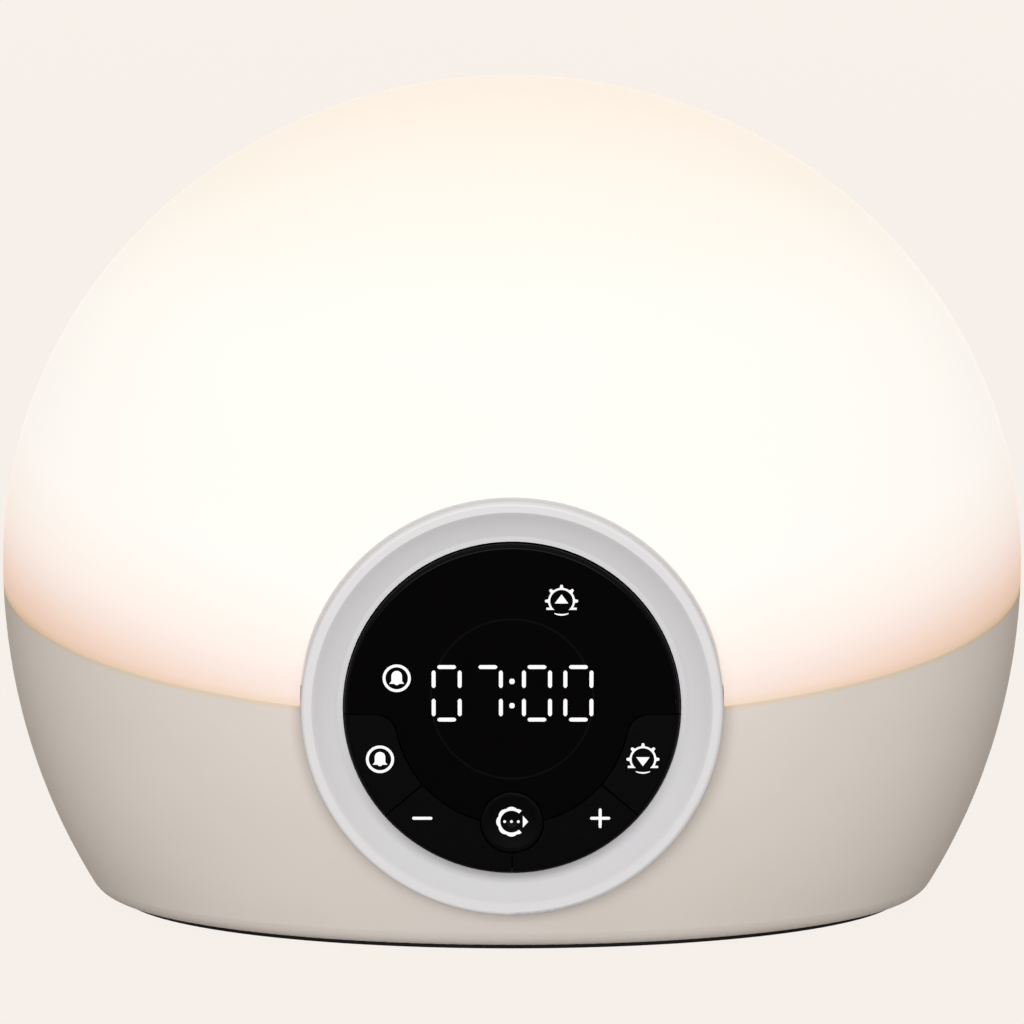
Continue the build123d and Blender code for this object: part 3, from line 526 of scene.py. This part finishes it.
def drawn_in(outline, inset):
    """An anticlockwise outline moved in by inset, each corner along its mitre."""
    edge = np.roll(outline, -1, axis=0) - outline
    edge /= np.linalg.norm(edge, axis=1)[:, None]
    inward = np.stack([-edge[:, 1], edge[:, 0]], axis=1)
    mitre = inward + np.roll(inward, 1, axis=0)
    mitre /= np.maximum((mitre ** 2).sum(axis=1) / 2, 0.5)[:, None]
    return outline + inset * mitre


MARK_HEIGHT = 0.05
MARK_BEVEL = 0.02


def levels(outline, outward=1.0):
    """Three rings of a mark: its foot on the lens, the top of its side, and its bevelled front."""
    top = LENS_FRONT - (MARK_HEIGHT - MARK_BEVEL) * MM
    front = LENS_FRONT - MARK_HEIGHT * MM
    return np.concatenate([on_dial(outline, LENS_FRONT), on_dial(outline, top),
                           on_dial(drawn_in(outline, outward * MARK_BEVEL), front)])


def plate(outline):
    """A low plate with one closed edge: rings of the outline joined by quads, closed front and back."""
    count = len(outline)
    first = np.arange(count)
    after = np.roll(first, -1)
    walls = np.concatenate([np.stack([first + k, after + k, after + k + count, first + k + count], axis=1)
                            for k in (0, count)])
    faces = walls.tolist() + [first[::-1].tolist(), (first + 2 * count).tolist()]
    return levels(outline), faces


def hoop(outer, inner):
    """A low plate with a hole: as many points on its outer as on its inner edge, joined in turn."""
    count = len(outer)
    vertices = np.concatenate([levels(outer), levels(inner, -1.0)])
    first = np.arange(count)
    after = np.roll(first, -1)
    # The rings in turn round the section: up the outer wall, across the front, down the inner wall
    loops = [0, 1, 2, 5, 4, 3]
    faces = []
    for low, high in zip(loops, loops[1:] + loops[:1]):
        faces += np.stack([first + low * count, after + low * count, after + high * count,
                           first + high * count], axis=1).tolist()
    return vertices, faces


def bar(length, width, taper, centre=(0.0, 0.0), upright=False):
    """A display segment: a bar whose ends narrow over the taper, to two fifths of its width."""
    end, side, point = length / 2, width / 2, width / 5
    corners = np.array([(-end + taper, -side), (end - taper, -side), (end, -point), (end, point),
                        (end - taper, side), (-end + taper, side), (-end, point), (-end, -point)])
    if upright:
        corners = np.stack([-corners[:, 1], corners[:, 0]], axis=1)
    return corners + np.array(centre)


def capsule(length, width):
    """A level, round-ended stroke of a length and width."""
    run, count = (length - width) / 2, 12
    return np.concatenate([circle(width / 2, -90, 180, count, (run, 0)),
                           circle(width / 2, 90, 180, count, (-run, 0))])


def in_dish(points):
    """Points of a mark round its centre, laid into the shallow dish of the round button: a parabola
    that is depth deep in the middle and nothing at the reach."""
    depth, reach = MENU_DISH
    away = np.hypot(points[:, 0], points[:, 2] - DIAL_HEIGHT) / MM
    return points + np.outer(depth * (1 - (away / reach) ** 2) * MM, (0.0, 1.0, 0.0))


def place_mark(name, shapes, centre, body, material):
    """Join the shapes of one mark, set it at its centre on the dial, and let it ride on its body."""
    vertices, faces = [], []
    for points, rings in shapes:
        start_at = sum(len(v) for v in vertices)
        if body == "menu_key":
            points = in_dish(points)
        vertices.append(points + np.array([centre[0] * MM, 0.0, centre[1] * MM]))
        faces += [[i + start_at for i in face] for face in rings]
    mesh = bpy.data.meshes.new(name)
    mesh.from_pydata(np.concatenate(vertices).tolist(), [], faces)
    mesh.materials.append(material)
    mesh.validate()
    made = bpy.data.objects.new(name, mesh)
    bpy.context.scene.collection.objects.link(made)
    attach(made, body)


def digit(lit):
    """Seven-segment figure: bars along the top, middle and foot, and two on each side."""
    width, height = DIGIT_SIZE
    long_bar, tall_bar, thick, taper = 3.5, 3.3, 0.74, 0.3
    side, level, half_level = (width - thick) / 2, (height - thick) / 2, 2.72
    bars = {
        "top": ((0, level), False), "middle": ((0, 0), False), "foot": ((0, -level), False),
        "upper_left": ((-side, half_level), True), "upper_right": ((side, half_level), True),
        "lower_left": ((-side, -half_level), True), "lower_right": ((side, -half_level), True),
    }
    return [plate(bar(tall_bar if upright else long_bar, thick, taper, centre, upright))
            for key, (centre, upright) in bars.items() if key in lit]


def sun(pointing):
    """Half-risen sun: an open ring whose outer radius swells into five short rays, two feet on the
    horizon, a triangle up or down in the middle, and the far side of the disc below."""
    outer_radius, inner_radius = 2.52, 2.14
    ray_angles, ray, ray_foot, ray_flank = (0, 45, 90, 135, 180), 0.58, 0.351, 0.182
    horizon, foot_low, foot_end = -1.25, -1.68, 2.85
    first = np.degrees(np.arcsin(horizon / outer_radius))
    angles = np.linspace(first, 180 - first, 181)
    nearest = np.abs(angles[:, None] - np.array(ray_angles)).min(axis=1)
    away = np.radians(nearest) * outer_radius
    swell = ray * np.clip((ray_foot - away) / ray_flank, 0, 1)
    outer = np.stack([(outer_radius + swell) * np.cos(np.radians(angles)),
                      (outer_radius + swell) * np.sin(np.radians(angles))], axis=1)
    inner_first = np.degrees(np.arcsin(foot_low / inner_radius))
    inner = circle(inner_radius, inner_first, 180 - 2 * inner_first, 97)
    left = np.array([(-foot_end, horizon), (-foot_end, foot_low)])
    right = np.array([(foot_end, foot_low), (foot_end, horizon)])
    ring = np.concatenate([outer, left, inner[::-1], right])
    half, rise, up_level, down_level = 1.27, 1.72, -0.45, -1.32
    tip = np.array([(-half, 0), (half, 0), (0, rise)]) + np.array([0, up_level])
    if pointing == "down":
        tip = np.array([(half, rise), (-half, rise), (0, 0)]) + np.array([0, down_level])
    # A thin crescent between the disc's own low arc and a flatter one
    low_radius, flat_radius, flat_centre, count = 2.78, 4.6, (0, 2.12), 17
    under = np.concatenate([circle(low_radius, -119, 58, count),
                            circle(flat_radius, -73.5, -33, count, flat_centre)])
    return [plate(ring), plate(tip), plate(under)]


def bell():
    """A bell in a circle: a domed body, a flared mouth and a clapper, mirrored about its middle."""
    radius, dome_level, waist_level, mouth_level = 1.0, 0.42, -0.40, -1.05
    flare_width, flare_height, tongue_width, tongue_height = 0.36, 0.55, 0.42, 0.26
    circle_outer, circle_inner = 2.65, 2.12
    turn = np.radians(np.linspace(90, 0, 15))
    mouth = np.linspace(0, 1, 9)
    shoulder = np.stack([radius * np.cos(turn), dome_level + radius * np.sin(turn)], axis=1)
    flare = np.stack([radius + flare_width * mouth ** 2, waist_level - flare_height * mouth], axis=1)
    clapper = np.stack([tongue_width * np.cos(turn[::-1]),
                        mouth_level - tongue_height * np.sin(turn[::-1])], axis=1)
    right = np.concatenate([shoulder, flare, [(radius + flare_width, mouth_level)], clapper])
    left = right[1:-1][::-1] * np.array([-1, 1])
    outline = np.concatenate([right, left])[::-1]
    return [hoop(circle(circle_outer), circle(circle_inner)), plate(outline)]


def menu():
    """Settings: the left three quarters of a scalloped ring, three dots and a wedge to the right."""
    opening, count, lobes = 48, 133, 8
    outer_radius, inner_radius, lobe_height, lobe_fullness = 2.62, 2.12, 0.26, 0.8
    dot_radius, dot_pitch = 0.27, 1.29
    wedge_foot, wedge_tip, wedge_half = 2.15, 3.15, 1.15
    angles = np.linspace(opening, 360 - opening, count)
    wave = np.abs(np.cos(np.radians(angles * lobes / 2))) ** lobe_fullness
    outer = circle(outer_radius + lobe_height * wave, opening, 360 - 2 * opening, count)
    ring = np.concatenate([outer, circle(inner_radius, opening, 360 - 2 * opening, count)[::-1]])
    dots = [plate(circle(dot_radius, centre=(u, 0.0), count=20)) for u in (-dot_pitch, 0.0, dot_pitch)]
    wedge = np.array([(wedge_foot, -wedge_half), (wedge_tip, 0.0), (wedge_foot, wedge_half)])
    return [plate(ring), *dots, plate(wedge)]


def dial_marks():
    """Time, indicators and button legends, all lit from behind."""
    white = lit_white()
    sides = ("upper_right", "lower_right")
    nought = ("top", "foot", "upper_left", "lower_left", *sides)
    names = ("hour_tens", "hour_units", "minute_tens", "minute_units")
    for name, place, lit in zip(names, DIGIT_PLACES, (nought, ("top", *sides), nought, nought)):
        place_mark(name, digit(lit), (place, DIGITS_LEVEL), "lamp", white)
    dot, corner_cut, dot_levels = 0.98, 0.2, (-2.36, 2.3)
    dots = [plate(bar(dot, dot, corner_cut, (0.0, level))) for level in dot_levels]
    place_mark("colon", dots, (0.0, DIGITS_LEVEL), "lamp", white)
    place_mark("sunrise_indicator", sun("up"), SUNRISE_ICON, "lamp", white)
    place_mark("alarm_indicator", bell(), BELL_ICON, "lamp", white)
    place_mark("alarm_legend", bell(), BUTTONS["alarm"], "alarm_key", white)
    place_mark("sunset_legend", sun("down"), BUTTONS["sunset"], "sunset_key", white)
    place_mark("menu_legend", menu(), BUTTONS["menu"], "menu_key", white)
    length, stroke = 3.8, 0.56
    line = capsule(length, stroke)
    place_mark("minus_legend", [plate(line)], BUTTONS["minus"], "minus_key", white)
    # The plus: one round end of the line, turned to each quarter, with an inner corner before it
    corner = stroke / 2
    arm = line[:len(line) // 2]
    arm = arm[arm[:, 0] > corner]
    cross = []
    for quarter in range(4):
        turn = np.radians(90 * quarter)
        spin = np.array([(np.cos(turn), np.sin(turn)), (-np.sin(turn), np.cos(turn))])
        cross += [np.array([(corner, -corner)]) @ spin, arm @ spin]
    place_mark("plus_legend", [plate(np.concatenate(cross))], BUTTONS["plus"], "plus_key", white)


# ---------------------------------------------------------------- finishes of the part's own pieces

# Moulded plastics and rubber: light and dark shade, roughness, grain and its depth in mm, how much of
# its gloss it keeps, and the nodes made of it
MOULDINGS = {
    "black_abs": ("#0B0A09", "#090808", 0.6, 0.5, 0.015, 0.08,
                  ("base_plate", "light_mask", "dial_housing", "digit_module")),
    "black_rubber": ("#1C1B1A", "#161514", 0.8, 0.6, 0.02, 0.3, ("rubber_feet",)),
    "white_abs": ("#EFEEEA", "#E9E8E3", 0.5, 0.4, 0.006, 0.5, ("dial_cover", "reflector_tray")),
    "natural_acetal": ("#E4E2DC", "#DAD8D1", 0.35, 0.5, 0.004, 0.5, [f"{name}_plunger" for name in BUTTONS]),
    "ivory_nylon": ("#E6DEC6", "#DCD3B8", 0.45, 0.4, 0.008, 0.5, ("wiring_sockets",)),
    "black_epoxy": ("#232324", "#1B1B1C", 0.5, 0.25, 0.01, 0.5,
                    ("button_switches", "controller_chip", "sounder", "dc_jack")),
    "sintered_ferrite": ("#3C3B3C", "#2E2D2E", 0.65, 0.3, 0.03, 0.5, ("inductor",)),
    "shrink_sleeve_pvc": ("#1C2340", "#161B33", 0.28, 2, 0.01, 0.5, ("capacitors",)),
}


def finishes():
    """Give every piece of the part the material it is made of."""
    worn_by = {moulded(name, *look): nodes for name, (*look, nodes) in MOULDINGS.items()}
    worn_by |= {
        opal_polycarbonate(): ("diffuser_dome",),
        putty_abs(): ("base_shell",),
        ring_abs(): ("dial_ring",),
        smoked_acrylic(): ("display_lens",),
        satin_black_abs(): [f"{name}_button" for name in BUTTONS],
        zinc_steel(): ("base_screws", "board_screws", "dial_screws", "tray_screws", "led_screws",
                       "sink_screws", "main_board_screws"),
        extruded_aluminium(): ("heat_sink",),
        nickel_brass(): ("dc_jack_pin",),
        circuit_board("green_solder_mask", "#0F4A2A", "#1E6B3C"): ("display_board", "main_board"),
        circuit_board("white_solder_mask", "#EDEDE8", "#DEDED6"): ("led_board",),
        phosphor(): ("leds", "icon_leds"),
        banded("grey_ribbon_pvc", "#C4C4C6", "#8E8E92", "X", 1.27 * MM, 0.45): ("display_ribbon",),
        banded("white_lead_pvc", "#EAEAEA", "#D8D8D8", "Y", 1.2 * MM, 0.4): ("led_lead",),
        lit_white(): ("digit_segments",),
    }
    for material, nodes in worn_by.items():
        for node in nodes:
            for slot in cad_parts[node].material_slots:
                slot.material = material


camera()
soft_sky()
painted_floor()
lamps()
finishes()
dial_marks()

bpy.context.scene.view_settings.view_transform = "Standard"
